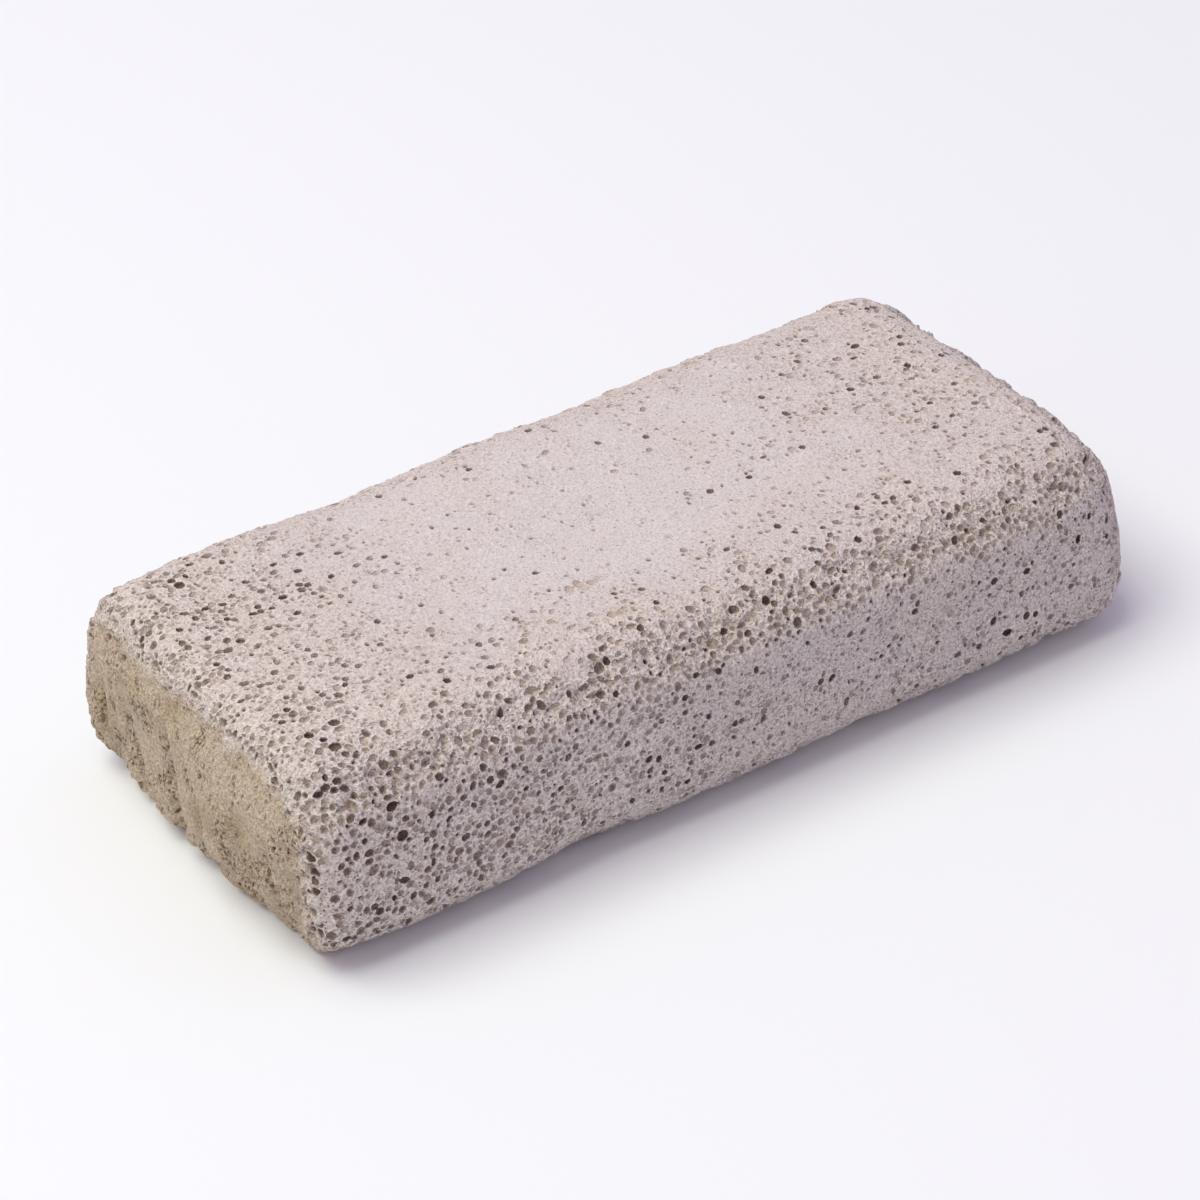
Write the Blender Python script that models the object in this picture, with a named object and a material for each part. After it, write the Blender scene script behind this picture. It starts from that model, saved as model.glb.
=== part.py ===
"""Pumice stone: a hand-sized block of foamed volcanic glass, sawn and ground to a bar with rounded edges.

Its four long faces and one end are ground nearly flat and worn into shallow waves. The other end, at -X, is left
as it broke, so it is hollowed and ridged. The stone grew as one piece, so it is one closed solid.

The frame: X runs along the length, Y across the width and Z up. The origin is under the middle of the bar, on the
flat face that it lies on. Everything is in metres.
"""

import math

import bmesh
import bpy
from mathutils import Vector, noise

# Driving dimensions.
LENGTH = 0.100
WIDTH = 0.046
HEIGHT = 0.022
TOP_EDGE_RADIUS = 0.0076
BOTTOM_EDGE_RADIUS = 0.0058

# How finely the skin is divided.
ARC_STEPS = 4  # steps in each half of a rounded edge
FACE_STEP = 0.0030  # on the ground faces
END_STEP = 0.0019  # across the broken end

# Wear of the ground faces: two sizes of shallow wave, ground into the stone.
WAVE_LENGTHS = (0.016, 0.0055)
WAVE_DEPTHS = (0.00036, 0.00022)

# The broken end: hollows that run up and down the face, and smaller lumps between them.
BREAK_DEPTH = 0.0021
BREAK_WIDTH = 0.0085
LUMP_DEPTH = 0.0011
LUMP_WIDTH = 0.0036
BREAK_STRETCH = 0.45  # how much slower the hollows change up the face than across it
BREAK_STARTS, BREAK_FULL = 0.55, 0.93  # how far the skin faces -X where the break begins, and where it is full
LUMP_SHIFT = Vector((7.0, 0.0, 0.0))  # draws the lumps from another part of the noise than the hollows

# The face that the bar lies on is flat, and the wear fades in as the skin turns up from it by this much.
BASE_FADE = 0.12

# Places where the stone lost more: centre, reach and depth.
DENTS = (
    ((-0.0172, -0.0225, 0.0010), 0.0045, 0.0008),  # nick in the lower front edge
    ((-0.0190, 0.0220, 0.0215), 0.0080, 0.0006),  # dip in the upper back edge
    ((0.0075, 0.0215, 0.0215), 0.0050, 0.0005),  # a second dip in that edge
    ((0.0340, 0.0215, 0.0215), 0.0060, 0.0004),  # and a third
    ((0.0485, -0.0215, 0.0200), 0.0080, 0.0016),  # worn upper corner at the front right
    ((-0.0490, 0.0220, 0.0190), 0.0080, 0.0008),  # worn upper corner at the back left
    ((-0.0490, -0.0160, 0.0000), 0.0060, 0.0018),  # chipped foot of the broken end, front
    ((-0.0490, 0.0175, 0.0000), 0.0050, 0.0012),  # chipped foot of the broken end, back
)

STONE_COLOUR = (0.70, 0.62, 0.61, 1.0)
STONE_ROUGHNESS = 0.95


def clear_scene():
    """Removes whatever the file opened with."""
    for obj in list(bpy.data.objects):
        bpy.data.objects.remove(obj, do_unlink=True)


def smoothstep(low, high, value):
    """0 below low, 1 above high, and an even rise between them."""
    t = min(1.0, max(0.0, (value - low) / (high - low)))
    return t * t * (3.0 - 2.0 * t)


def edge_radius(point):
    """The radius of the rounding near a point of the block, which grows evenly from the bottom to the top."""
    rise = point.z / HEIGHT + 0.5
    return BOTTOM_EDGE_RADIUS + (TOP_EDGE_RADIUS - BOTTOM_EDGE_RADIUS) * rise


def stations(size, step):
    """Where the skin is cut along one axis: even angles round each rounded edge, even steps between them."""
    radius = TOP_EDGE_RADIUS
    inner = size / 2.0 - radius
    arc = [inner + radius * math.tan(math.radians(45.0 * i / ARC_STEPS)) for i in range(ARC_STEPS)]
    count = max(1, round(2.0 * inner / step))
    flat = [-inner + 2.0 * inner * i / count for i in range(1, count)]
    return [-x for x in reversed(arc)] + flat + arc


def gridded_block():
    """A plain block, its faces cut into a grid along the stations of all three axes."""
    bm = bmesh.new()
    bmesh.ops.create_cube(bm, size=1.0)
    bmesh.ops.scale(bm, vec=(LENGTH, WIDTH, HEIGHT), verts=bm.verts)
    for axis, size, step in ((0, LENGTH, FACE_STEP), (1, WIDTH, END_STEP), (2, HEIGHT, END_STEP)):
        normal = Vector((0.0, 0.0, 0.0))
        normal[axis] = 1.0
        for place in stations(size, step):
            bmesh.ops.bisect_plane(
                bm, geom=bm.verts[:] + bm.edges[:] + bm.faces[:], plane_co=normal * place, plane_no=normal
            )
    return bm


def rounded(point):
    """The place of a block's surface point once the edges are rounded, and the way the skin faces there."""
    radius = edge_radius(point)
    inner = [size / 2.0 - radius for size in (LENGTH, WIDTH, HEIGHT)]
    core = Vector([min(limit, max(-limit, value)) for value, limit in zip(point, inner)])
    outward = (point - core).normalized()
    return core + outward * radius, outward


def wave_wear(place):
    """How deep the shallow waves of a ground face go at a place."""
    wear = 0.0
    for length, depth in zip(WAVE_LENGTHS, WAVE_DEPTHS):
        wear += depth * (0.5 + 0.5 * noise.noise(place / length))
    return wear


def break_relief(place):
    """How deep the broken end is hollowed at a place."""
    along = Vector((0.0, place.y, place.z * BREAK_STRETCH))
    hollow = BREAK_DEPTH * (0.5 + 0.5 * noise.noise(along / BREAK_WIDTH))
    lump = LUMP_DEPTH * abs(noise.noise(along / LUMP_WIDTH + LUMP_SHIFT))
    return hollow + lump


def dent_wear(place):
    """How much more than the waves the stone lost at a place."""
    wear = 0.0
    for centre, reach, depth in DENTS:
        away = (place - Vector(centre)).length / reach
        wear += depth * math.exp(-away * away)
    return wear


def worn(place, outward):
    """A point of the rounded block moved in by all the wear there. The face that the bar lies on stays flat."""
    share = smoothstep(BREAK_STARTS, BREAK_FULL, -outward.x)
    standing = place + Vector((0.0, 0.0, HEIGHT / 2.0))
    depth = wave_wear(standing) + share * break_relief(standing) + dent_wear(standing)
    off_the_base = smoothstep(0.0, BASE_FADE, 1.0 + outward.z)
    return place - outward * depth * off_the_base


def fit_to_size(bm):
    """Stretches the worn shape a little, so that its box is the stated size, and sets it on the origin."""
    for axis, size in enumerate((LENGTH, WIDTH, HEIGHT)):
        values = [v.co[axis] for v in bm.verts]
        low, high = min(values), max(values)
        floor = 0.0 if axis == 2 else -size / 2.0
        for v in bm.verts:
            v.co[axis] = floor + (v.co[axis] - low) * size / (high - low)


def stone_material():
    """Dry pumice: pale, a little pink, and quite dull."""
    material = bpy.data.materials.new("pumice")
    material.use_nodes = True
    shader = material.node_tree.nodes["Principled BSDF"]
    shader.inputs["Base Color"].default_value = STONE_COLOUR
    shader.inputs["Roughness"].default_value = STONE_ROUGHNESS
    shader.inputs["Metallic"].default_value = 0.0
    return material


def make_stone():
    """The whole bar, as one closed mesh."""
    bm = gridded_block()
    for v in bm.verts:
        v.co = worn(*rounded(v.co))
    fit_to_size(bm)
    bmesh.ops.recalc_face_normals(bm, faces=bm.faces[:])
    mesh = bpy.data.meshes.new("pumice_stone")
    bm.to_mesh(mesh)
    bm.free()
    mesh.shade_smooth()
    mesh.materials.append(stone_material())
    stone = bpy.data.objects.new("pumice_stone", mesh)
    bpy.context.scene.collection.objects.link(stone)
    return stone


def main():
    clear_scene()
    make_stone()


main()
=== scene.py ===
"""The looks of a pumice stone: foamed volcanic glass, ground to a hand-sized bar and broken off at one end.

The skin starts from the solid model and is refined where it is roughest. The gas bubbles that the grinding
opened are cut into it, thousands of them, each a small cup of its own size, depth and tone. Then the broken
end gets its flutes and crumbs, and the worn edges get their chips. What is finer than that, such as grit and
pin holes, is in the material.

Lengths are in millimetres wherever a name or a comment says so, and in metres in the meshes, as in the frame.
"""

import logging
import math
from dataclasses import dataclass, field
from enum import Enum, IntEnum

import bmesh
import bpy
import numpy as np
from bpy.types import ID, Material, Mesh, Node, NodeSocket, NodeTree, Object
from mathutils import Matrix, Vector, noise
from mathutils.bvhtree import BVHTree
from mathutils.kdtree import KDTree


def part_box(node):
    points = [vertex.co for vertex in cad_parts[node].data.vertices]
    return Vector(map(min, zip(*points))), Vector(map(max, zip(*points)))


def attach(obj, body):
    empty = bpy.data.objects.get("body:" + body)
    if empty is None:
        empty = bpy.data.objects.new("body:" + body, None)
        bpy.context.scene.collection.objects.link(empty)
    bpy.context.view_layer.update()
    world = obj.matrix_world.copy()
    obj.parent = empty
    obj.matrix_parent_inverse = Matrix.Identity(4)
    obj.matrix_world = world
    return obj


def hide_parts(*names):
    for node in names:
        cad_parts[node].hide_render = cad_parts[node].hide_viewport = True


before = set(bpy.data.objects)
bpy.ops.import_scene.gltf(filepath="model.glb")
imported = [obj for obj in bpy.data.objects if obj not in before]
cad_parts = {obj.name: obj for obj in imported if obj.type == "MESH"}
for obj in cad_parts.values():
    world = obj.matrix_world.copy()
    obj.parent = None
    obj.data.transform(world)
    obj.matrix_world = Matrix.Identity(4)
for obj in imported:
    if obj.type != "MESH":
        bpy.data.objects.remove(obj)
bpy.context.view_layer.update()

LOG = logging.getLogger("pumice")
MM = 0.001
NODE = "pumice_stone"
BODY = "root"
X, Y, Z = range(3)
TINY = 1e-6
Pair = tuple[float, float]
Place = tuple[float, float, float]
Four = tuple[float, float, float, float]


# --------------------------------------------------------------------------------------- small helpers


def linear(colour: str) -> Four:
    """Turns an sRGB hex colour into the linear values that a shader takes.

    Args:
        colour: six hex digits, such as "d9cfcc".

    Returns:
        Linear red, green, blue and an alpha of 1.
    """
    parts = [int(colour[i : i + 2], 16) / 255.0 for i in (0, 2, 4)]
    red, green, blue = [c / 12.92 if c <= 0.04045 else ((c + 0.055) / 1.055) ** 2.4 for c in parts]
    return red, green, blue, 1.0


def rise(low: float, high: float, value: np.ndarray) -> np.ndarray:
    """A smooth rise from 0 at low to 1 at high, or a fall where low is the larger.

    Args:
        low: the value where the result is 0.
        high: the value where the result is 1.
        value: the values to place.

    Returns:
        An array of the same shape, from 0 to 1.
    """
    t = np.clip((value - low) / (high - low), 0.0, 1.0)
    return t * t * (3.0 - 2.0 * t)


def add_node(
    tree: NodeTree, kind: str, sockets: dict | None = None, **settings: object
) -> Node:
    """Adds a node, sets its properties and fills or links its inputs.

    Args:
        tree: the node tree that gets it.
        kind: the node's type name.
        sockets: input name or number to a value, or to the output socket that feeds it.
        settings: the node's own properties.

    Returns:
        The new node.
    """
    node = tree.nodes.new(kind)
    for name, value in settings.items():
        setattr(node, name, value)
    for name, value in (sockets or {}).items():
        if isinstance(value, NodeSocket):
            tree.links.new(value, node.inputs[name])
        else:
            node.inputs[name].default_value = value
    return node


def read(items: bpy.types.bpy_prop_collection, name: str, width: int, kind: type = np.int32) -> np.ndarray:
    """Reads one value of every item, such as every vertex of a mesh.

    Args:
        items: the vertices, triangles or loops.
        name: the value's name.
        width: how many numbers it has.
        kind: their type.

    Returns:
        The values, one row for each item.
    """
    flat = np.empty(len(items) * width, kind)
    items.foreach_get(name, flat)
    return flat.reshape(-1, width)


def coordinates(mesh: Mesh) -> np.ndarray:
    """Where the vertices of a mesh are, in mm, one row each."""
    return read(mesh.vertices, "co", 3, np.float32).astype(float) / MM


def corners_of(mesh: Mesh) -> np.ndarray:
    """The numbers of the three vertices of each triangle of a mesh, one row each."""
    return read(mesh.polygons, "vertices", 3)


def move_to(mesh: Mesh, points: np.ndarray) -> None:
    """Puts the vertices of a mesh at the given places, in mm."""
    mesh.vertices.foreach_set("co", (points * MM).astype(np.float32).ravel())
    mesh.update()


def new_object(name: str, data: ID) -> Object:
    """Puts a new object in the scene.

    Args:
        name: its name.
        data: the mesh, light or camera that it shows.

    Returns:
        The object.
    """
    obj = bpy.data.objects.new(name, data)
    bpy.context.scene.collection.objects.link(obj)
    return obj


def tree_of(points: np.ndarray) -> KDTree:
    """Makes a tree that finds the nearest points.

    Args:
        points: the points, one row each. Their numbers are their rows.

    Returns:
        The tree.
    """
    tree = KDTree(len(points))
    for number, point in enumerate(points.tolist()):
        tree.insert(point, number)
    tree.balance()
    return tree


# ----------------------------------------------------------------------------------------------- noise


class Seed(IntEnum):
    """Picks another part of the noise for each pattern, so that no two follow each other."""

    BROKEN_RIM = 3
    FOAM_BACK = 5
    FOAM_UNDER = 6
    FOAM_ENDS = 7
    FOAM = 8
    CREAM = 9
    FLUTES = 21
    CRUMBS = 22
    LUMPS = 23
    SWELL = 31
    GRAIN = 32
    CRUMBLED = 42
    GROOVE_BEND = 45
    GROOVE_DEPTH = 46
    RAGGED_X = 51
    RAGGED_Y = 52
    RAGGED_Z = 53
    CHIPS = 61
    NOTCHES_BACK = 62
    NOTCHES_RIGHT = 63


@dataclass(frozen=True)
class Patches:
    """An uneven pattern: its middle, its swing either way, and the width and stretch of its patches."""

    middle: float
    swing: float
    width_mm: float
    seed: Seed
    stretch: Place = (1.0, 1.0, 1.0)
    seed_step: float = 17.31

    def at(self, points: np.ndarray) -> np.ndarray:
        """The pattern's value at places in mm, one row each."""
        scaled = points / (self.width_mm * np.array(self.stretch)) + self.seed * self.seed_step
        return self.middle + self.swing * np.array([noise.noise(Vector(row)) for row in scaled])


@dataclass(frozen=True)
class Zone:
    """Foam that thickens along one axis: how thick it gets, and where it starts and is full, in mm."""

    level: float
    axis: int
    start: float
    full: float

    def at(self, points: np.ndarray) -> np.ndarray:
        """How much foam the zone gives at places in mm, one row each."""
        return self.level * rise(self.start, self.full, points[:, self.axis])


# ----------------------------------------------------------------------------------- the bar as a form


@dataclass
class BarForm:
    """The plain rounded bar behind the worn stone, which tells how the skin faces and where each zone lies.

    All of it is in mm, with the origin under the middle of the bar. A pair of limits gives the values where
    something starts and where it is full.
    """

    # The bar, and its most worn edges.
    low: np.ndarray
    high: np.ndarray
    edge_radius: float = 6.8
    worn_share: float = 0.85
    under_limits: Pair = (0.15, 0.45)

    # The broken end: its rim, its upright grooves, its crumbs and the spot that split clean.
    broken_limits: Pair = (0.60, 0.84)
    broken_rim: Patches = Patches(0.0, 0.12, 2.5, Seed.BROKEN_RIM)
    grooves_y: tuple[float, ...] = (16.5, 10.6, 2.7, -2.6, -10.5, -16.0)
    groove_width: float = 1.7
    groove_power: float = 1.3
    groove_z_limits: Pair = (21.0, 5.0)
    groove_bend: Patches = Patches(0.0, 1.6, 5.0, Seed.GROOVE_BEND)
    groove_depth: Patches = Patches(0.8, 0.8, 4.0, Seed.GROOVE_DEPTH)
    crumbled_limits: Pair = (-0.06, 0.20)
    crumbled_patches: Patches = Patches(0.0, 1.0, 3.0, Seed.CRUMBLED, (1.0, 1.0, 1.4))
    crumbled_grooves: float = 0.30
    crumbled_less: float = 0.04
    clean_yz: Pair = (3.0, 17.0)
    clean_reach: float = 3.0
    clean_share: float = 0.9

    # How thickly the bubbles sit, on each side in turn.
    foam_top: tuple[Zone, ...] = (
        Zone(0.74, X, -12.0, -44.0),
        Zone(0.62, Y, -5.0, -20.0),
        Zone(0.46, X, 10.0, 40.0),
        Zone(0.46, Y, 12.0, 19.0),
    )
    foam_front: float = 0.31
    foam_front_zones: tuple[Zone, ...] = (Zone(0.53, X, 6.0, -26.0), Zone(0.10, X, 24.0, 36.0))
    foam_front_edge: Zone = Zone(1.05, Z, 14.5, 19.0)
    foam_back: Patches = Patches(0.22, 0.40, 14.0, Seed.FOAM_BACK)
    foam_under: Patches = Patches(0.0, 0.12, 12.0, Seed.FOAM_UNDER)
    foam_ends: Patches = Patches(0.36, 0.30, 9.0, Seed.FOAM_ENDS)
    foam_end_limits: Pair = (13.0, 19.0)
    foam_end_edges: Pair = (0.45, 0.30)
    foam_patches: Patches = Patches(0.0, 0.22, 4.5, Seed.FOAM)

    # How cream the stone is.
    cream_up_limits: Pair = (0.05, 0.55)
    cream_left_limits: Pair = (-18.0, -46.0)
    cream_end_limits: Pair = (-0.10, 0.50)
    cream_foam: float = 0.75
    cream_left_above: float = 0.2
    cream_left_beside: float = 0.35
    cream_patches: Patches = Patches(0.0, 0.30, 7.0, Seed.CREAM)
    cream_spots: tuple[Pair, ...] = ((-9.4, -9.6), (-9.4, -15.6))
    cream_spot_reach: Pair = (1.8, 0.7)

    # How rough the skin is between the bubbles, and how coarse the bubbles are.
    ground_limits: Pair = (0.70, 0.98)
    ground_share: float = 0.60
    raw_foam: float = 0.45
    raw_broken: Pair = (0.9, 0.1)
    coarse_bevel: float = 0.08
    coarse_corner: float = 0.14
    coarse_x_limits: Pair = (-26.0, -46.0)
    coarse_front_limits: Pair = (0.5, 0.9)

    @classmethod
    def of_node(cls, node: str) -> "BarForm":
        """The form of a solid's box."""
        low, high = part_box(node)
        return cls(np.array(low) / MM, np.array(high) / MM)

    def facing(self, points: np.ndarray) -> np.ndarray:
        """Which way the skin faces.

        Args:
            points: places on the skin or just below it, in mm.

        Returns:
            A unit vector for each point.
        """
        core = np.clip(points, self.low + self.edge_radius, self.high - self.edge_radius)
        away = points - core
        return away / np.maximum(np.linalg.norm(away, axis=1, keepdims=True), 1e-9)

    def worn(self, points: np.ndarray) -> np.ndarray:
        """Whether a place lies on the upper back or the upper right edge, which are the most worn."""
        past = points > self.high - self.worn_share * self.edge_radius
        return past[:, Z] & (past[:, X] | past[:, Y])

    def leftward(self, points: np.ndarray) -> np.ndarray:
        """How far the skin faces left. Below the middle it counts even where it also faces down.

        Args:
            points: places on the skin, in mm.

        Returns:
            A value from -1 to 1 for each.
        """
        face = self.facing(points)
        level = np.hypot(face[:, X], face[:, Y])
        under = -face[:, X] / np.maximum(level, TINY) * rise(*self.under_limits, level)
        return np.where(face[:, Z] < 0.0, under, -face[:, X])

    def broken(self, points: np.ndarray) -> np.ndarray:
        """How far a place belongs to the broken end, from 0 to 1."""
        return rise(*self.broken_limits, self.leftward(points) + self.broken_rim.at(points))

    def grooves(self, points: np.ndarray) -> np.ndarray:
        """How deep a place lies in one of the grooves that part the broken end's lobes.

        Args:
            points: places on the broken end, in mm.

        Returns:
            A value from 0 to 1 for each.
        """
        y = points[:, Y] + self.groove_bend.at(points)
        nearest = np.abs(y[:, None] - np.array(self.grooves_y)).min(1)
        profile = np.clip(1.0 - nearest / self.groove_width, 0.0, 1.0) ** self.groove_power
        depth = np.clip(self.groove_depth.at(points), 0.0, 1.0)
        return profile * rise(*self.groove_z_limits, points[:, Z]) * depth

    def crumbled(self, points: np.ndarray) -> np.ndarray:
        """How crumbled the broken end is.

        Args:
            points: places on the skin, in mm.

        Returns:
            A value for each, from 0, where it split clean, to 1.
        """
        away = (points[:, Y] - self.clean_yz[0]) ** 2 + (points[:, Z] - self.clean_yz[1]) ** 2
        clean = np.exp(-away / self.clean_reach**2)
        patches = self.crumbled_patches.at(points) + self.crumbled_grooves * self.grooves(points)
        level = rise(*self.crumbled_limits, patches - self.crumbled_less)
        return level * (1.0 - self.clean_share * clean) * self.broken(points)

    def foaminess(self, points: np.ndarray) -> np.ndarray:
        """How thickly the bubbles sit at a place.

        The middle of the top and the right of the front are close-grained. The bar is foamy along its upper
        front edge, over the left third of the top, at the right end and on the left of the front.

        Args:
            points: places on the skin, in mm.

        Returns:
            A value from 0, close-grained, to 1, foam.
        """
        face = self.facing(points)
        top = np.maximum.reduce([zone.at(points) for zone in self.foam_top])
        front = sum((zone.at(points) for zone in self.foam_front_zones), self.foam_front)
        front = np.maximum(front, self.foam_front_edge.at(points))
        upper = rise(*self.foam_end_limits, points[:, Z])
        ends = self.foam_ends.at(points) + upper * np.where(points[:, X] < 0.0, *self.foam_end_edges)
        sides = np.stack([top, front, self.foam_back.at(points), self.foam_under.at(points), ends])
        toward = np.stack([face[:, Z], -face[:, Y], face[:, Y], -face[:, Z], np.abs(face[:, X])])
        weights = np.maximum(toward, 0.0) ** 3
        level = (sides * weights).sum(0) / np.maximum(weights.sum(0), TINY)
        return np.clip(level + self.foam_patches.at(points), 0.0, 1.0)

    def creaminess(self, points: np.ndarray) -> np.ndarray:
        """How cream the stone is: on its left, where it is foamy above, and in two spots on the top.

        Args:
            points: places on the skin, in mm.

        Returns:
            A value from 0, pinkish grey, to 1, cream.
        """
        upward = rise(*self.cream_up_limits, self.facing(points)[:, Z])
        left = rise(*self.cream_left_limits, points[:, X])
        above = upward * (self.cream_foam * self.foaminess(points) + self.cream_left_above * left)
        away = ((points[:, None, :Z] - np.array(self.cream_spots)) / self.cream_spot_reach) ** 2
        patches = self.cream_patches.at(points) + np.exp(-away.sum(2)).sum(1) * upward
        end = rise(*self.cream_end_limits, self.leftward(points))
        beside = np.maximum(self.cream_left_beside * left * (1.0 - upward), end)
        return np.clip(above + beside + patches, 0.0, 1.0)

    def rawness(self, points: np.ndarray) -> np.ndarray:
        """How rough the skin is between its bubbles: the top is ground smooth, the sides much less.

        Args:
            points: places on the skin, in mm.

        Returns:
            A value from 0, smooth, to 1.
        """
        level = 1.0 - self.ground_share * rise(*self.ground_limits, self.facing(points)[:, Z])
        level = np.clip(level + self.raw_foam * self.foaminess(points), 0.0, 1.0)
        broken = self.broken(points)
        least, more = self.raw_broken
        return level * (1.0 - broken) + broken * (least + more * self.crumbled(points))

    def coarseness(self, points: np.ndarray) -> np.ndarray:
        """How much larger than usual the bubbles are: most so along the upright front left edge.

        Args:
            points: places on the skin, in mm.

        Returns:
            A factor for each, from 1 up.
        """
        face = self.facing(points)
        corner = np.maximum(-face[:, X], 0.0) * np.maximum(-face[:, Y], 0.0) * 2.0
        bevel = np.maximum(face[:, Z], 0.0) * np.maximum(-face[:, Y], 0.0) * 2.0
        near = rise(*self.coarse_x_limits, points[:, X]) * rise(*self.coarse_front_limits, -face[:, Y])
        upright = np.clip(np.maximum(corner, near), 0.0, 1.0)
        return 1.0 + self.coarse_bevel * bevel + self.coarse_corner * upright


class Surface:
    """A closed skin in triangles, in mm, that can be asked for the nearest place on it."""

    def __init__(self, mesh: Mesh) -> None:
        """Reads the skin.

        Args:
            mesh: a mesh made of triangles.
        """
        self.points = coordinates(mesh)
        self.corners = corners_of(mesh)
        self.normals = read(mesh.vertex_normals, "vector", 3, np.float32).astype(float)
        self.tree = BVHTree.FromPolygons(self.points.tolist(), self.corners.tolist())

    def areas(self) -> np.ndarray:
        """The area of each triangle, in square mm."""
        a, b, c = (self.points[self.corners[:, i]] for i in range(3))
        return np.linalg.norm(np.cross(b - a, c - a), axis=1) / 2.0

    def nearest(self, points: np.ndarray) -> tuple[np.ndarray, np.ndarray, np.ndarray]:
        """The nearest place on the skin to each point.

        Args:
            points: places in mm, one row each.

        Returns:
            The nearest places, the triangles that they lie on, and how far off they are.
        """
        found = [self.tree.find_nearest(row) for row in points.tolist()]
        places = np.array([f[0] for f in found])
        return places, np.array([f[2] for f in found]), np.array([f[3] for f in found])

    def rounding(self, places: np.ndarray, triangles: np.ndarray, share: float = 0.75) -> np.ndarray:
        """How far the smooth surface through the vertices lies from the flat triangles.

        Args:
            places: places on the triangles.
            triangles: the triangle of each place.
            share: how much of the full rounding is given.

        Returns:
            An offset for each place.
        """
        spots = self.points[self.corners[triangles]]
        normals = self.normals[self.corners[triangles]]
        sides = spots[:, [2, 0, 1]] - spots[:, [1, 2, 0]]
        parts = np.linalg.norm(np.cross(sides, places[:, None] - spots[:, [1, 2, 0]]), axis=2)
        parts /= np.maximum(parts.sum(1, keepdims=True), 1e-12)
        off = ((places[:, None] - spots) * normals).sum(2)
        return -share * ((parts * off)[:, :, None] * normals).sum(1)


# ------------------------------------------------------------------------------------------- the pores


class Cup(Enum):
    """The shapes of cutter. The equator stands above the skin, so it is wider than the pore's mouth."""

    NICK = (5, 2, 1.43, 0.21)
    PIT = (6, 2, 1.37, 0.33)
    CUP = (6, 3, 1.27, 0.46)
    BOWL = (8, 3, 1.20, math.inf)

    def __init__(self, sides: int, rings: int, widening: float, largest: float) -> None:
        """Keeps the four numbers.

        Args:
            sides: the facets round the side.
            rings: the bands of facets down it, both ends counted.
            widening: the equator's radius over the mouth's.
            largest: the radius of the largest mouth that it cuts, in mm.
        """
        self.sides, self.rings, self.widening, self.largest = sides, rings, widening, largest


CUPS = tuple(Cup)


@dataclass
class Pores:
    """The pores as arrays, one row each: middle of the cutter, facing, size, cup, mouth's radius and tone."""

    middles: np.ndarray
    turns: np.ndarray
    sizes: np.ndarray
    cups: np.ndarray
    radii: np.ndarray
    tones: np.ndarray


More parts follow.
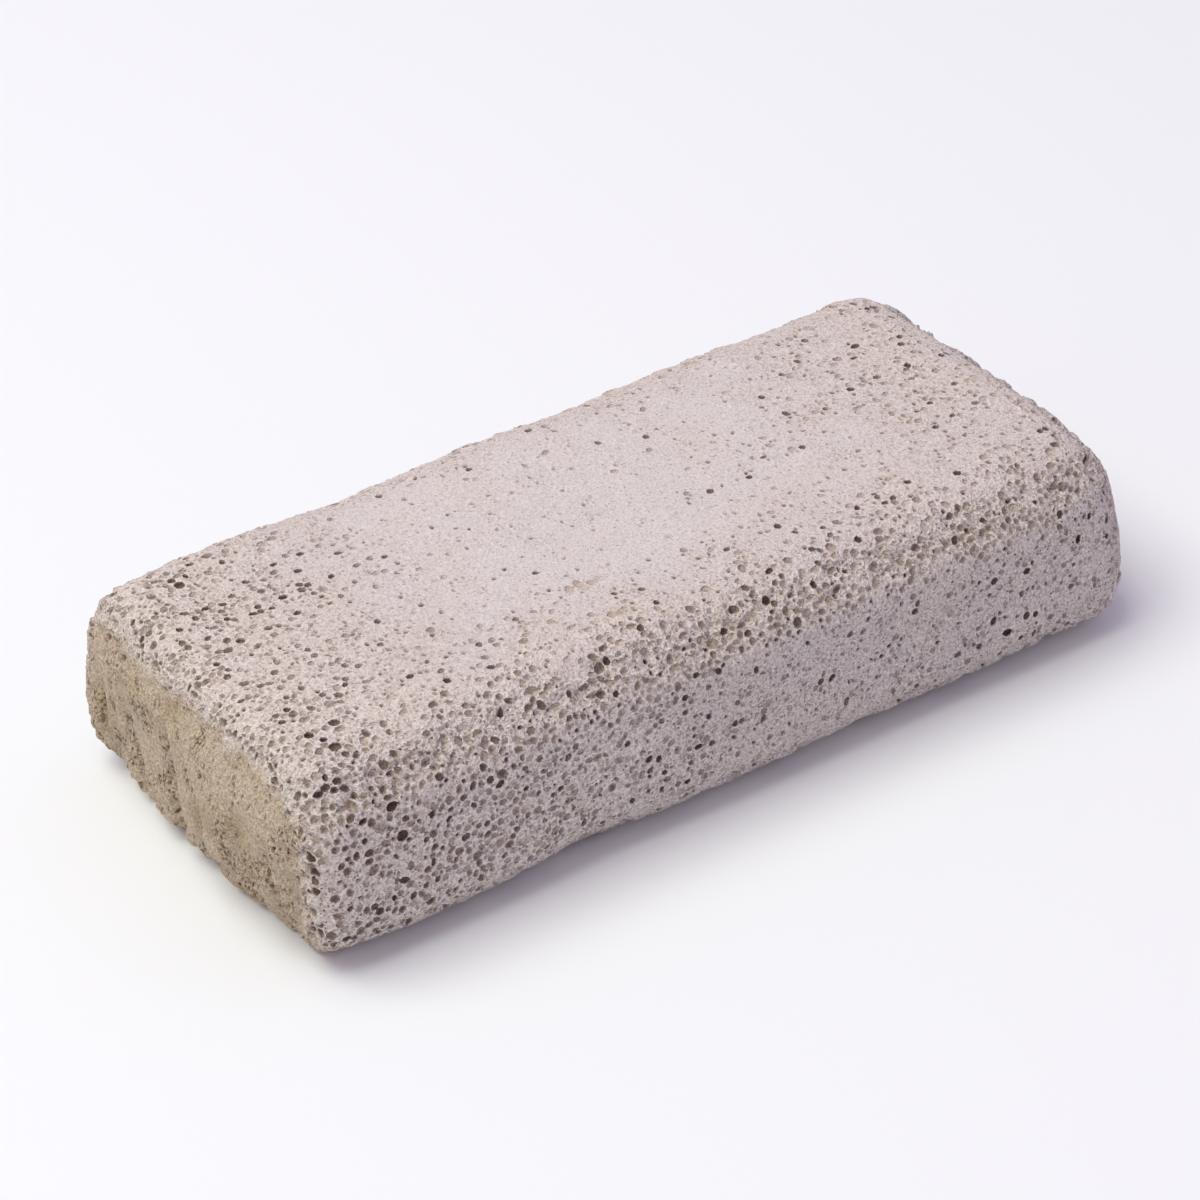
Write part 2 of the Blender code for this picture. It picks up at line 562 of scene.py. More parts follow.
@dataclass
class PoreField:
    """Scatters the pores over a skin and shoves them apart until a thin wall stands between each two.

    Most are the foam's own bubbles, nearly all of one size at a place. A share of them are fine pits. The
    deep and the shallow pits have their own places, each given by a point in front of the skin and a radius.
    Counts are for each square mm, and lengths are in mm. Depths are shares of the mouth's radius. Tones run
    from 0, pale, to 1, dark.
    """

    # How many pores there are, and how large.
    form: BarForm
    seed: int = 11
    in_close_grain: float = 0.19
    in_foam: float = 2.12
    at_end: Pair = (0.30, 1.8)
    radius_in_close_grain: float = 0.245
    radius_in_foam: float = 0.335
    radius_at_end: float = 0.18
    radius_spread: float = 0.19
    fine_share: float = 0.16
    fine_radius: float = 0.165
    radius_range: Pair = (0.12, 0.62)
    least_room: float = 0.9

    # How they are kept apart.
    wall: float = 0.09
    breach: float = 0.20
    breach_power: int = 4
    closeness: float = 0.74
    most_crowded: float = 4.0
    most_tries: float = 6.0
    rounds: int = 9
    shoves: int = 5
    shove: float = 0.38
    slack: float = 0.12

    # Which are dark and deep, and how dark and how deep the others are.
    dark_share: Pair = (0.60, 0.14)
    dark_alone: float = 0.30
    dark_radii: Pair = (0.17, 0.34)
    paler_foam: float = 0.5
    paler_x_limits: Pair = (-44.0, -24.0)
    tone_dark: Pair = (0.45, 0.95)
    tone_pale: Pair = (0.50, 0.45)
    tone_x_limits: Pair = (-10.0, -30.0)
    tone_power: float = 1.4
    tone_deep_pit: float = 0.9
    tone_shallow_pit: float = 0.1
    depth_dark: Pair = (1.0, 1.5)
    depth_pale: Pair = (0.45, 0.90)
    depth_shallow_pit: float = 0.45
    depth_ground: float = 0.75
    deepest: float = 0.75
    above_skin: float = 0.2
    slimmest: float = 0.80
    slimmer_at_end: float = 0.25
    level_from: float = 0.9

    # The pits with places of their own: on the top, the front and the broken end.
    deep_pits: tuple[Four, ...] = (
        (-23.7, -15.8, 30.0, 0.34),
        (-28.6, 1.5, 30.0, 0.29),
        (-1.5, -13.8, 30.0, 0.29),
        (-29.6, -16.4, 30.0, 0.27),
        (-32.6, 15.6, 30.0, 0.27),
        (-40.0, 10.2, 30.0, 0.29),
        (18.5, -15.9, 30.0, 0.30),
        (26.3, -16.1, 30.0, 0.29),
        (29.3, -5.7, 30.0, 0.27),
        (37.3, -11.8, 30.0, 0.30),
        (3.3, -12.5, 30.0, 0.25),
        (-12.5, -8.2, 30.0, 0.27),
        (-21.0, -30.0, 11.0, 0.35),
        (-42.3, -30.0, 15.1, 0.32),
        (-34.4, -30.0, 10.4, 0.30),
        (-40.0, -30.0, 7.1, 0.30),
        (-6.3, -30.0, 10.2, 0.30),
        (-11.3, -30.0, 7.9, 0.29),
        (16.3, -30.0, 10.0, 0.29),
        (30.5, -30.0, 15.9, 0.30),
        (34.9, -30.0, 13.7, 0.32),
        (-60.0, -10.9, 20.1, 0.24),
        (-60.0, -11.5, 19.7, 0.24),
        (-60.0, -12.1, 19.9, 0.20),
        (-60.0, -12.8, 16.9, 0.28),
        (-60.0, -12.2, 17.5, 0.20),
        (-60.0, -7.9, 14.7, 0.24),
        (-60.0, -7.4, 15.1, 0.18),
    )
    shallow_pits: tuple[Four, ...] = (
        (-10.5, -9.6, 30.0, 0.50),
        (-9.4, -9.4, 30.0, 0.60),
        (-8.3, -9.8, 30.0, 0.46),
        (-10.0, -15.7, 30.0, 0.48),
        (-8.9, -15.5, 30.0, 0.55),
    )

    def candidates(self, skin: Surface, count: int, rng: np.random.Generator) -> np.ndarray:
        """Random places on the skin, evenly spread by area.

        Args:
            skin: the skin.
            count: how many places.
            rng: the source of chance.

        Returns:
            The places, in mm, one row each.
        """
        areas = skin.areas()
        pick = skin.corners[rng.choice(len(areas), count, p=areas / areas.sum())]
        a, b, c = (skin.points[pick[:, i]] for i in range(3))
        u, v = rng.random((2, count, 1))
        u, v = np.where(u + v > 1.0, 1.0 - u, u), np.where(u + v > 1.0, 1.0 - v, v)
        return a + u * (b - a) + v * (c - a)

    def thrown(self, points: np.ndarray, radii: np.ndarray) -> np.ndarray:
        """Picks places one after another, leaving out each that would crowd an earlier one.

        Args:
            points: the places in the order that they are tried.
            radii: the mouth's radius at each.

        Returns:
            The numbers of the places kept.
        """
        cell = 2.0 * radii.max() * self.closeness
        cells: dict[tuple[int, int, int], list[Four]] = {}
        kept = []
        for number, (x, y, z) in enumerate(points.tolist()):
            i, j, k = int(x // cell), int(y // cell), int(z // cell)
            radius = radii[number]
            near = (
                spot
                for a in (i - 1, i, i + 1)
                for b in (j - 1, j, j + 1)
                for c in (k - 1, k, k + 1)
                for spot in cells.get((a, b, c), ())
            )
            if all(
                (px - x) ** 2 + (py - y) ** 2 + (pz - z) ** 2 >= ((radius + pr) * self.closeness) ** 2
                for px, py, pz, pr in near
            ):
                cells.setdefault((i, j, k), []).append((x, y, z, radius))
                kept.append(number)
        return np.array(kept)

    def pairs(self, points: np.ndarray, radii: np.ndarray, slack: float) -> tuple[np.ndarray, np.ndarray]:
        """All pairs of pores whose walls are thin.

        Args:
            points: the pores' places.
            radii: their radii.
            slack: how much thicker than the thinnest wall a wall may be, to be listed.

        Returns:
            The first and the second of each pair.
        """
        tree = tree_of(points)
        reach = radii + radii.max() + self.wall + slack
        found = [
            (number, other)
            for number, point in enumerate(points.tolist())
            for _, other, _ in tree.find_range(point, reach[number])
            if other > number
        ]
        first, second = np.array(found).T
        apart = np.linalg.norm(points[first] - points[second], axis=1)
        near = apart < radii[first] + radii[second] + self.wall + slack
        return first[near], second[near]

    def relaxed(self, points: np.ndarray, radii: np.ndarray, skin: Surface) -> np.ndarray:
        """Shoves crowded pores apart along the skin.

        Args:
            points: the pores' places.
            radii: their radii.
            skin: the skin that they stay on.

        Returns:
            The new places.
        """
        for _ in range(self.rounds):
            first, second = self.pairs(points, radii, self.slack)
            for _ in range(self.shoves):
                apart = points[second] - points[first]
                distance = np.maximum(np.linalg.norm(apart, axis=1), TINY)
                overlap = np.maximum(radii[first] + radii[second] + self.wall - distance, 0.0)
                push = apart * (self.shove * overlap / distance)[:, None]
                np.add.at(points, second, push)
                np.add.at(points, first, -push)
            points = skin.nearest(points)[0]
        return points

    def fitted(self, points: np.ndarray, radii: np.ndarray, rng: np.random.Generator) -> np.ndarray:
        """Shrinks the pores that are still crowded, and lets a few break through to the next.

        Args:
            points: the pores' places.
            radii: their radii.
            rng: the source of chance.

        Returns:
            The new radii.
        """
        first, second = self.pairs(points, radii, 0.0)
        room = np.linalg.norm(points[first] - points[second], axis=1) - self.wall
        share = room / (radii[first] + radii[second])
        fit = np.ones(len(radii))
        np.minimum.at(fit, first, share)
        np.minimum.at(fit, second, share)
        return radii * fit * (1.0 + self.breach * rng.random(len(radii)) ** self.breach_power)

    def scatter(self, skin: Surface) -> Pores:
        """Places every pore.

        Args:
            skin: the skin.

        Returns:
            The pores.
        """
        rng = np.random.default_rng(self.seed)
        points = self.candidates(skin, int(skin.areas().sum() * self.most_tries), rng)
        foam = self.form.foaminess(points)
        broken = self.form.broken(points)
        coarse = self.form.coarseness(points)
        middle = self.radius_in_close_grain + (self.radius_in_foam - self.radius_in_close_grain) * foam
        middle = np.where(rng.random(len(points)) < self.fine_share, self.fine_radius, middle * coarse)
        middle = middle * (1.0 - broken) + self.radius_at_end * broken
        wanted = (self.in_close_grain + (self.in_foam - self.in_close_grain) * foam) / coarse**2
        few, many = self.at_end
        wanted = wanted * (1.0 - broken) + (few + (many - few) * self.form.crumbled(points)) * broken
        crowding = math.pi * (2.0 * self.closeness * middle) ** 2
        tries = np.expm1(np.minimum(crowding * wanted, self.most_crowded)) / crowding
        spread = np.exp(self.radius_spread * rng.standard_normal(len(points)))
        radii = np.clip(middle * spread, *self.radius_range)
        chosen = rng.random(len(points)) < tries / self.most_tries
        named = np.array(self.deep_pits + self.shallow_pits)
        points = np.concatenate([skin.nearest(named[:, :3])[0], points[chosen]])
        radii = np.concatenate([named[:, 3], radii[chosen]])
        kept = self.thrown(points, radii)
        points, radii = self.relaxed(points[kept], radii[kept], skin), radii[kept]
        radii = self.fitted(points, radii, rng)
        large = radii > self.radius_range[0] * self.least_room
        LOG.info("pores: %d, of which %d found no room", large.sum(), (~large).sum())
        deep = kept[large] < len(self.deep_pits)
        shallow = (kept[large] < len(named)) & ~deep
        return self.shape(points[large], radii[large], deep, shallow, rng)

    def shape(
        self,
        mouths: np.ndarray,
        radii: np.ndarray,
        deep: np.ndarray,
        shallow: np.ndarray,
        rng: np.random.Generator,
    ) -> Pores:
        """Gives each pore its cutter's size, turn and tone.

        Args:
            mouths: the middle of each mouth.
            radii: the mouths' radii.
            deep: whether each is one of the deep pits.
            shallow: whether each is one of the shallow pits.
            rng: the source of chance.

        Returns:
            The pores.
        """
        count = len(mouths)
        facing = self.form.facing(mouths)
        broken = self.form.broken(mouths)
        foam = self.form.foaminess(mouths)
        small, large = self.dark_share
        dark_chance = small + (large + self.dark_alone * (1.0 - foam) - small) * rise(*self.dark_radii, radii)
        paler = self.paler_foam * foam * rise(*self.paler_x_limits, mouths[:, X])
        dark = (rng.random(count) < dark_chance * (1.0 - paler)) | deep
        deepness = np.where(dark, rng.uniform(*self.depth_dark, count), rng.uniform(*self.depth_pale, count))
        depth = radii * deepness
        depth[shallow] = self.depth_shallow_pit * radii[shallow]
        rawness = self.depth_ground + (1.0 - self.depth_ground) * self.form.rawness(mouths)
        ground = np.where(dark, 1.0, rawness)
        depth = np.minimum(depth * ground, self.deepest) / (1.0 - self.above_skin)

        cups = np.searchsorted([cup.largest for cup in CUPS], radii)
        widening = np.array([cup.widening for cup in CUPS])[cups]
        slim = rng.uniform(self.slimmest, 1.0, count) * (1.0 - self.slimmer_at_end * broken)
        wide = radii * widening / slim
        sizes = np.stack([wide, wide * slim**2, depth], 1)
        spins = rng.uniform(0.0, 2.0 * math.pi, count) * (1.0 - broken)
        turns = np.array([self.turn(f, s) for f, s in zip(facing, spins)])

        # The tones set how dark each pore's floor is painted: partly its own brown, partly painted shade,
        # darkest in the deep pores.
        level, more = self.tone_pale
        palest = (level + more * rise(*self.tone_x_limits, mouths[:, X])) * ground
        tones_dark = rng.uniform(*self.tone_dark, count)
        tones = np.where(dark, tones_dark, palest * rng.random(count) ** self.tone_power)
        tones[deep] = self.tone_deep_pit
        tones[shallow] = self.tone_shallow_pit
        names = [cup.name for cup in CUPS]
        LOG.info("cutters: %s", dict(zip(names, np.bincount(cups, minlength=len(CUPS)).tolist())))
        middles = mouths + facing * (self.above_skin * depth)[:, None]
        return Pores(middles, turns, sizes, cups, radii, tones)

    def turn(self, facing: np.ndarray, spin: float) -> Place:
        """The Euler turn that stands a cutter on the skin.

        Args:
            facing: which way the skin faces.
            spin: the turn about that way, in radians. At 0 the cutter's X lies as upright as it can.

        Returns:
            The three Euler angles.
        """
        up = Vector(facing)
        level = abs(up.z) > self.level_from
        upright = Vector((1.0, 0.0, 0.0)) if level else Vector((0.0, 0.0, 1.0))
        along = (upright - up * upright.dot(up)).normalized()
        stand = Matrix((along, up.cross(along), up)).transposed()
        return tuple((stand @ Matrix.Rotation(spin, 3, "Z")).to_euler())


@dataclass
class PoreCutter:
    """The node tree that stands a faceted cup on every pore and cuts them all out of the skin at once.

    The cut mesh is then thinned to a share of its triangles, which its shape hardly shows.
    """

    name: str = "Open bubbles"
    kept_share: float = 0.84
    inputs: dict[str, str] = field(default_factory=dict)

    def sites(self, pores: Pores) -> Object:
        """A cloud of loose vertices, one for each pore, that carries its size, turn and cup.

        Args:
            pores: the pores.

        Returns:
            The object that the tree reads.
        """
        mesh = bpy.data.meshes.new("pore_sites")
        mesh.from_pydata((pores.middles * MM).tolist(), [], [])
        for name, kind, prop, values in (
            ("size", "FLOAT_VECTOR", "vector", pores.sizes * MM),
            ("turn", "FLOAT_VECTOR", "vector", pores.turns),
            ("cup", "INT", "value", pores.cups),
        ):
            data = values.astype(np.int32 if kind == "INT" else np.float32).ravel()
            mesh.attributes.new(name, kind, "POINT").data.foreach_set(prop, data)
        return new_object("pore_sites", mesh)

    def tree(self) -> NodeTree:
        """Builds the node tree, with named inputs, and keeps each input's identifier.

        Returns:
            The tree.
        """
        tree = bpy.data.node_groups.new(self.name, "GeometryNodeTree")
        face = tree.interface
        face.new_socket("Geometry", in_out="OUTPUT", socket_type="NodeSocketGeometry")
        wanted = [("Skin", "Geometry"), ("Pores", "Object"), ("Finish", "Material")]
        wanted += [(f"{cup.name} {part}", "Int") for cup in CUPS for part in ("sides", "rings")]
        for name, kind in wanted:
            socket = face.new_socket(name, in_out="INPUT", socket_type=f"NodeSocket{kind}")
            self.inputs[name] = socket.identifier
        given = add_node(tree, "NodeGroupInput").outputs
        info = add_node(tree, "GeometryNodeObjectInfo", {"Object": given["Pores"]})
        points = add_node(tree, "GeometryNodeMeshToPoints", {"Mesh": info.outputs["Geometry"]}).outputs[0]
        size, turn, cup_of = (
            add_node(tree, "GeometryNodeInputNamedAttribute", {"Name": name}, data_type=kind).outputs[0]
            for name, kind in (("size", "FLOAT_VECTOR"), ("turn", "FLOAT_VECTOR"), ("cup", "INT"))
        )
        rotation = add_node(tree, "FunctionNodeEulerToRotation", {0: turn}).outputs[0]
        cut = add_node(
            tree,
            "GeometryNodeMeshBoolean",
            {"Mesh 1": given["Skin"]},
            operation="DIFFERENCE",
            solver="MANIFOLD",
        )
        for number, cup in enumerate(CUPS):
            shape = add_node(
                tree,
                "GeometryNodeMeshUVSphere",
                {"Segments": given[f"{cup.name} sides"], "Rings": given[f"{cup.name} rings"], "Radius": 1.0},
            )
            chosen = add_node(
                tree, "FunctionNodeCompare", {2: cup_of, 3: number}, data_type="INT", operation="EQUAL"
            )
            stood = add_node(
                tree,
                "GeometryNodeInstanceOnPoints",
                {
                    "Points": points,
                    "Selection": chosen.outputs[0],
                    "Instance": shape.outputs["Mesh"],
                    "Rotation": rotation,
                    "Scale": size,
                },
            )
            tree.links.new(stood.outputs["Instances"], cut.inputs["Mesh 2"])
        real = add_node(tree, "GeometryNodeRealizeInstances", {"Geometry": cut.outputs["Mesh"]}).outputs[0]
        dressed = add_node(tree, "GeometryNodeSetMaterial", {"Geometry": real, "Material": given["Finish"]})
        add_node(tree, "NodeGroupOutput", {0: dressed.outputs[0]})
        return tree

    def cut(self, skin: Object, pores: Pores, finish: Material) -> Mesh:
        """Cuts the pores out of a skin.

        Args:
            skin: the object with the closed skin.
            pores: the pores.
            finish: the material of the result.

        Returns:
            A plain mesh in triangles, with the pores cut in it.
        """
        sites = self.sites(pores)
        modifier = skin.modifiers.new(self.name, "NODES")
        modifier.node_group = self.tree()
        modifier[self.inputs["Pores"]] = sites
        modifier[self.inputs["Finish"]] = finish
        for cup in CUPS:
            modifier[self.inputs[f"{cup.name} sides"]] = cup.sides
            modifier[self.inputs[f"{cup.name} rings"]] = cup.rings
        graph = bpy.context.evaluated_depsgraph_get()
        mesh = bpy.data.meshes.new_from_object(skin.evaluated_get(graph))
        skin.modifiers.remove(modifier)
        bpy.data.objects.remove(sites)
        bm = bmesh.new()
        bm.from_mesh(mesh)
        bmesh.ops.triangulate(bm, faces=bm.faces[:])
        bm.to_mesh(mesh)
        bm.free()
        return mesh

    def thinned(self, mesh: Mesh, free: np.ndarray) -> Mesh:
        """Merges the shortest edges of a mesh where its shape hardly changes, and keeps it closed.

        Args:
            mesh: a mesh in triangles, which is replaced.
            free: for each vertex, whether it may be merged away.

        Returns:
            The thinned mesh.
        """
        holder = new_object("thinned", mesh)
        group = holder.vertex_groups.new(name="free")
        group.add(np.flatnonzero(free).tolist(), 1.0, "REPLACE")
        modifier = holder.modifiers.new("Thin", "DECIMATE")
        modifier.ratio = self.kept_share
        modifier.vertex_group = group.name
        graph = bpy.context.evaluated_depsgraph_get()
        made = bpy.data.meshes.new_from_object(holder.evaluated_get(graph))
        bpy.data.objects.remove(holder)
        bpy.data.meshes.remove(mesh)
        return made


# ------------------------------------------------------------------------------------------ the finish


@dataclass(frozen=True)
class GroundPumice:
    """Dry pumice, ground on its faces: chalky and dull, as every facet of the glass foam scatters the light.

    The ground skin is a pale pinkish grey with fine grit, creamier where it is foamy, and paler there too:
    partly the thin glass walls' own paleness, partly painted highlight on them. Opened bubbles show a browner
    floor, with painted shade that darkens it the deeper it lies, and the deep ones are dark brown, partly
    their own colour and partly painted shade. The broken end is tan, as rust and clay have settled in the
    rough glass.
    Real grit, pin holes and nicks go down to a few hundredths of a millimetre. That is too fine to show at
    this distance, so all three are drawn as coarse as the smallest cut pores: the pin holes and nicks darkened
    with painted shade, the nicks partly brown flecks as well, and the grit's colour painted darker in its lows
    and lighter on its highs as shade and light would fall. Heights and sizes are in mm, and a span of four
    gives the values that something runs between and what it runs to.
    """

    ground: str = "dfd6cf"
    cream: str = "decfbf"
    tan: str = "cebda2"
    rust: str = "bda987"
    # The pores' floors: their own browner colours, mixed with painted shade by depth and tone.
    floor_pale_and_shade: str = "cdbcb0"
    floor_cream_and_shade: str = "cfbfa9"
    # Paler foam walls: partly the glass's own paleness, partly painted highlight.
    wall: str = "f0e6da"
    floor_dark_and_shade: str = "5e473b"
    # Pin holes and nicks: painted shade in hollows too small to cut; the nicks are partly brown flecks as
    # well.
    pin_hole_shade: str = "7a6456"
    nick_fleck_and_shade: str = "86704f"
    roughness: float = 0.95
    specular: float = 0.2
    stain_mm: float = 7.0
    stain_limits: Pair = (0.52, 0.72)
    wall_highlight_span: Four = (0.35, 0.80, 0.0, 0.6)
    shaded_depth: float = 0.22

    grit_mm: float = 0.29
    grit_roughness: float = 0.6
    grit_height: float = 0.50
    grit_shade: Four = (0.32, 0.68, 0.64, 1.25)
    pin_hole_mm: float = 0.30
    pin_hole_bend: float = 0.35
    pin_hole_rim: Four = (0.24, 0.46, 1.0, 0.0)
    pin_hole_rarity: float = 5.0
    pin_hole_height: float = -0.14
    nick_mm: float = 0.34
    nick_stretch: Place = (1.0, 1.0, 0.7)
    nick_limits: Pair = (0.55, 0.64)
    nick_amount: Four = (0.05, 0.95, 0.16, 0.90)
    nick_height: float = -0.10

    def material(self) -> Material:
        """Builds the material.

        Returns:
            The finished material.
        """
        made = bpy.data.materials.new("ground_pumice")
        made.use_nodes = True
        tree = made.node_tree
        shader = tree.nodes["Principled BSDF"]
        shader.inputs["Roughness"].default_value = self.roughness
        shader.inputs["Specular IOR Level"].default_value = self.specular
        place = add_node(tree, "ShaderNodeTexCoord").outputs["Object"]
        mm = self.vector(tree, "SCALE", {0: place, "Scale": 1.0 / MM})
        hollow, tone, depth, cream, foam, raw, broken, crumbled = (
            add_node(tree, "ShaderNodeAttribute", attribute_name=name).outputs["Fac"]
            for name in ("hollow", "tone", "depth", "cream", "foam", "raw", "broken", "crumbled")
        )

        # The skin: ground stone, paler where it is foamy, partly the thin walls' own paleness and partly
        # painted highlight on them, and stained tan at the broken end.
        skin = self.mix(tree, cream, linear(self.ground), linear(self.cream))
        skin = self.mix(tree, self.span(tree, foam, *self.wall_highlight_span), skin, linear(self.wall))
        stain = self.noise_of(tree, mm, self.stain_mm, detail=3.0)["Fac"]
        rusty = self.span(tree, stain, *self.stain_limits)
        rough = self.mix(tree, rusty, linear(self.tan), linear(self.rust))
        skin = self.mix(tree, broken, skin, rough)

        # What is too fine to cut: pin holes in the ground skin, and nicks in the broken end, sunk by the bump
        # and darkened with painted shade; the nicks are partly brown flecks as well.
        pin_holes, nicks = self.pin_holes(tree, mm, raw), self.nicks(tree, mm, crumbled)
        holes = self.blend(tree, broken, pin_holes, nicks)
        pin_hole_height = self.times(tree, pin_holes, self.pin_hole_height)
        nick_height = self.times(tree, nicks, self.nick_height)
        hole_height = self.blend(tree, broken, pin_hole_height, nick_height)
        shadow = self.mix(tree, broken, linear(self.pin_hole_shade), linear(self.nick_fleck_and_shade))
        skin = self.mix(tree, holes, skin, shadow)

        # The pores' floors: a browner colour of their own, with painted shade that darkens them the deeper
        # they lie. At the broken end they take the nicks' colour, partly brown and partly painted shade.
        pale = self.mix(tree, cream, linear(self.floor_pale_and_shade), linear(self.floor_cream_and_shade))
        floor = self.mix(tree, tone, pale, linear(self.floor_dark_and_shade))
        floor = self.mix(tree, broken, floor, linear(self.nick_fleck_and_shade))
        inside = self.times(tree, self.span(tree, depth, 0.0, self.shaded_depth), hollow)
        colour = self.mix(tree, inside, skin, floor)

        # Grit, which roughens the surface and paints its colour darker in the lows and lighter on the highs,
        # as painted shade and light.
        grit = self.noise_of(tree, mm, self.grit_mm, roughness=self.grit_roughness)["Fac"]
        shade = self.span(tree, grit, *self.grit_shade)
        colour = self.mix(tree, raw, colour, shade, blend_type="MULTIPLY")
        tree.links.new(colour, shader.inputs["Base Color"])
        gritty = self.times(tree, grit, raw)
        height = self.number(tree, "MULTIPLY_ADD", gritty, self.grit_height, hole_height)
        bump = add_node(tree, "ShaderNodeBump", {"Height": height, "Strength": 1.0, "Distance": MM})
        tree.links.new(bump.outputs[0], shader.inputs["Normal"])
        return made

    @staticmethod
    def mix(
        tree: NodeTree, factor: object, first: object, second: object, blend_type: str = "MIX"
    ) -> NodeSocket:
        """A mix of two colours, which go into sockets 6 and 7, by a factor."""
        sockets = {"Factor": factor, 6: first, 7: second}
        return add_node(tree, "ShaderNodeMix", sockets, data_type="RGBA", blend_type=blend_type).outputs[2]

    @staticmethod
    def blend(tree: NodeTree, factor: object, first: object, second: object) -> NodeSocket:
        """A mix of two numbers by a factor."""
        return add_node(tree, "ShaderNodeMix", {"Factor": factor, "A": first, "B": second}).outputs[0]

    @staticmethod
    def vector(tree: NodeTree, operation: str, sockets: dict) -> NodeSocket:
        """The result of a sum on vectors."""
        return add_node(tree, "ShaderNodeVectorMath", sockets, operation=operation).outputs[0]

    @staticmethod
    def number(tree: NodeTree, operation: str, *values: object) -> NodeSocket:
        """The result of a sum on numbers."""
        return add_node(tree, "ShaderNodeMath", dict(enumerate(values)), operation=operation).outputs[0]

    def times(self, tree: NodeTree, first: object, second: object) -> NodeSocket:
        """The product of two numbers."""
        return self.number(tree, "MULTIPLY", first, second)

    @staticmethod
    def span(
        tree: NodeTree,
        value: NodeSocket,
        low: float,
        high: float,
        first: float = 0.0,
        last: float = 1.0,
    ) -> NodeSocket:
        """A value stretched so that low to high becomes first to last, and held there beyond."""
        sockets = {"Value": value, "From Min": low, "From Max": high, "To Min": first, "To Max": last}
        return add_node(tree, "ShaderNodeMapRange", sockets).outputs[0]

    @staticmethod
    def noise_of(
        tree: NodeTree,
        place: NodeSocket,
        size_mm: float,
        detail: float = 2.0,
        roughness: float = 0.5,
    ) -> bpy.types.bpy_prop_collection:
        """The outputs of a noise whose lumps have a size in mm."""
        sockets = {"Vector": place, "Scale": 1.0 / size_mm, "Detail": detail, "Roughness": roughness}
        return add_node(tree, "ShaderNodeTexNoise", sockets).outputs

    def pin_holes(
        self, tree: NodeTree, mm: NodeSocket, raw: NodeSocket
    ) -> NodeSocket:
        """The bubbles too small to cut: dimples side by side, most of them faint and a few dark with painted
        shade.

        Args:
            tree: the material's tree.
            mm: the place in mm.
            raw: how rough the skin is there.

        Returns:
            How far a point lies in a hole, from 0 to 1.
        """
        stray = self.noise_of(tree, mm, self.grit_mm)["Color"]
        bent = self.vector(tree, "MULTIPLY_ADD", {0: stray, 1: (self.pin_hole_bend,) * 3, 2: mm})
        sockets = {"Vector": bent, "Scale": 1.0 / self.pin_hole_mm}
        cells = add_node(tree, "ShaderNodeTexVoronoi", sockets).outputs
        chance = add_node(tree, "ShaderNodeSeparateColor", {0: cells["Color"]}).outputs[0]
        amount = self.number(tree, "POWER", chance, self.pin_hole_rarity)
        inside = self.span(tree, cells["Distance"], *self.pin_hole_rim)
        return self.times(tree, inside, self.times(tree, amount, raw))

    def nicks(
        self, tree: NodeTree, mm: NodeSocket, crumbled: NodeSocket
    ) -> NodeSocket:
        """The broken end's dark upright nicks, partly brown flecks and partly painted shade, thick where it is
        crumbled and sparse where it split clean.

        Args:
            tree: the material's tree.
            mm: the place in mm.
            crumbled: how crumbled the end is there.

        Returns:
            How far a point lies in a nick, from 0 to 1.
        """
        squat = self.vector(tree, "MULTIPLY", {0: mm, 1: self.nick_stretch})
        sharp = self.span(tree, self.noise_of(tree, squat, self.nick_mm, detail=1.0)["Fac"], *self.nick_limits)
        return self.times(tree, sharp, self.span(tree, crumbled, *self.nick_amount))


@dataclass(frozen=True)
class WhitePaper:
    """A matt white paper backdrop, so that nothing draws the eye from the stone and its shadow stays soft."""

    colour: str = "f7faf6"
    roughness: float = 0.9

    def material(self) -> Material:
        """Builds the material.

        Returns:
            The finished material.
        """
        made = bpy.data.materials.new("white_paper")
        made.use_nodes = True
        shader = made.node_tree.nodes["Principled BSDF"]
        shader.inputs["Base Color"].default_value = linear(self.colour)
        shader.inputs["Roughness"].default_value = self.roughness
        return made


# ------------------------------------------------------------------------------------------- the stone


